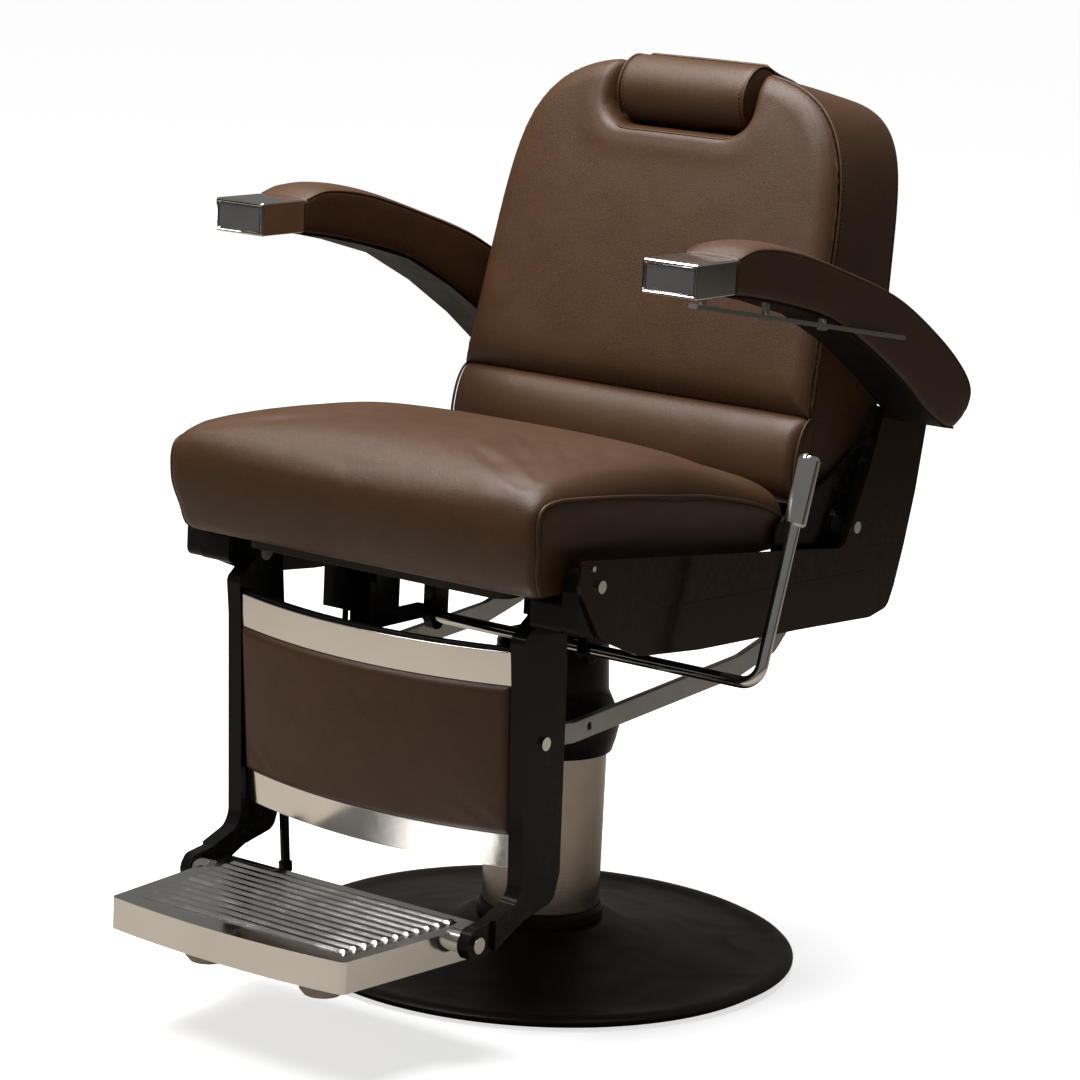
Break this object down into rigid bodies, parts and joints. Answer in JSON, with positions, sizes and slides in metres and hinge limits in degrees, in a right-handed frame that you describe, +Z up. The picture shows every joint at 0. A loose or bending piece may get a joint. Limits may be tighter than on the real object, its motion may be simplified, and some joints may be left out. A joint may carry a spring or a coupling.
{
  "type": "barber chair",
  "caption": "Upholstered chair on a round base and pump column, with arched arms, a reclining back with a headrest, and a leg rest with a folding footplate.",
  "frame": {"origin": "on the floor under the column's axis", "axes": "+Z up, the chair faces -Y, +X is across the seat towards its towel rail"},
  "size_m": [0.6865, 0.915, 1.0352],
  "materials": {
    "base_black": "satin black lacquer",
    "frame_black": "gloss black enamel",
    "panel_brown": "gloss dark brown",
    "vinyl_brown": "satin brown upholstery",
    "vinyl_dark": "satin dark brown upholstery",
    "chrome": "polished chrome",
    "chrome_satin": "satin chrome",
    "steel": "brushed",
    "link_steel": "zinc plated",
    "plate_aluminium": "polished casting",
    "insert_grey": "dark grey",
    "rubber_black": "matt",
    "rubber_grey": "matt",
    "bronze": "turned",
    "pan_dark": "black stained board"
  },
  "bodies": {
    "base": {"base_disc": "base_black", "base_ring": "rubber_black", "column_flange": "base_black", "flange_screws": "steel", "column_jacket": "chrome", "jacket_cap": "chrome", "pump_cylinder": "steel", "cylinder_foot": "steel", "cylinder_gland": "bronze"},
    "ram": {"ram": "chrome", "piston": "steel", "piston_seal": "rubber_black", "thrust_washer": "bronze"},
    "seat": {"swivel_head": "frame_black", "seat_frame": "frame_black", "frame_bracket": "frame_black", "lever_bracket_left": "frame_black", "lever_bracket_right": "frame_black", "seat_pan": "pan_dark", "seat_cushion": "vinyl_brown", "side_casting_left": "frame_black", "side_casting_right": "frame_black", "side_panel_left": "panel_brown", "side_panel_right": "panel_brown", "panel_bolts": "chrome", "arm_plate_left": "steel", "arm_plate_right": "steel", "arm_pad_left": "vinyl_brown", "arm_pad_right": "vinyl_brown", "arm_cap_left": "chrome", "arm_cap_right": "chrome", "cap_inserts": "insert_grey", "towel_rail": "chrome"},
    "lever": {"lever_rod": "chrome", "lever_grip": "chrome"},
    "back": {"back_shaft": "steel", "back_frame": "frame_black", "crank_pins": "steel", "back_shell": "vinyl_dark", "back_cushion": "vinyl_brown", "lumbar_roll": "vinyl_brown", "headrest_sockets": "steel"},
    "headrest": {"headrest_bars": "chrome", "headrest_plate": "steel", "headrest_pad": "vinyl_brown", "headrest_flap": "vinyl_dark"},
    "leg_rest": {"leg_upright_left": "frame_black", "leg_upright_right": "frame_black", "leg_pivot_pins": "steel", "link_pins": "chrome", "calf_board": "frame_black", "calf_pad": "vinyl_dark", "calf_strip_top": "chrome_satin", "calf_strip_bottom": "chrome_satin", "stop_rod": "frame_black"},
    "link_left": {"link_bar_left": "link_steel"},
    "link_right": {"link_bar_right": "link_steel"},
    "footplate": {"footplate": "plate_aluminium", "footplate_pins": "chrome", "footplate_feet": "rubber_grey"}
  },
  "joints": [
    {"name": "lift", "type": "slide", "parent": "base", "child": "ram", "axis": [0, 0, 1], "range_m": [0, 0.165]},
    {"name": "swivel", "type": "hinge", "parent": "ram", "child": "seat", "pos_m": [0, 0, 0.36], "axis": [0, 0, 1], "continuous": true},
    {"name": "lever_swing", "type": "hinge", "parent": "seat", "child": "lever", "pos_m": [0, -0.086, 0.396], "axis": [-1, 0, 0], "range_deg": [-20, 30]},
    {"name": "recline", "type": "hinge", "parent": "seat", "child": "back", "pos_m": [0, 0.183, 0.528], "axis": [-1, 0, 0], "range_deg": [0, 50]},
    {"name": "headrest_slide", "type": "slide", "parent": "back", "child": "headrest", "axis": [0, 0.2402, 0.9707], "range_m": [0, 0.1]},
    {"name": "leg_raise", "type": "hinge", "parent": "seat", "child": "leg_rest", "pos_m": [0, -0.29, 0.486], "axis": [-1, 0, 0], "range_deg": [0, 40.9]},
    {"name": "link_left_swing", "type": "hinge", "parent": "leg_rest", "child": "link_left", "pos_m": [0, -0.293, 0.342], "axis": [-1, 0, 0], "range_deg": [-36.3, 0]},
    {"name": "link_right_swing", "type": "hinge", "parent": "leg_rest", "child": "link_right", "pos_m": [0, -0.293, 0.342], "axis": [-1, 0, 0], "range_deg": [-36.3, 0]},
    {"name": "footplate_fold", "type": "hinge", "parent": "leg_rest", "child": "footplate", "pos_m": [0, -0.389, 0.138], "axis": [-1, 0, 0], "range_deg": [0, 90]}
  ],
  "couplings": [
    {"joint": "leg_raise", "follows": "recline", "ratio": 0.8171},
    {"joint": "link_left_swing", "follows": "recline", "ratio": -0.725},
    {"joint": "link_right_swing", "follows": "recline", "ratio": -0.725}
  ]
}
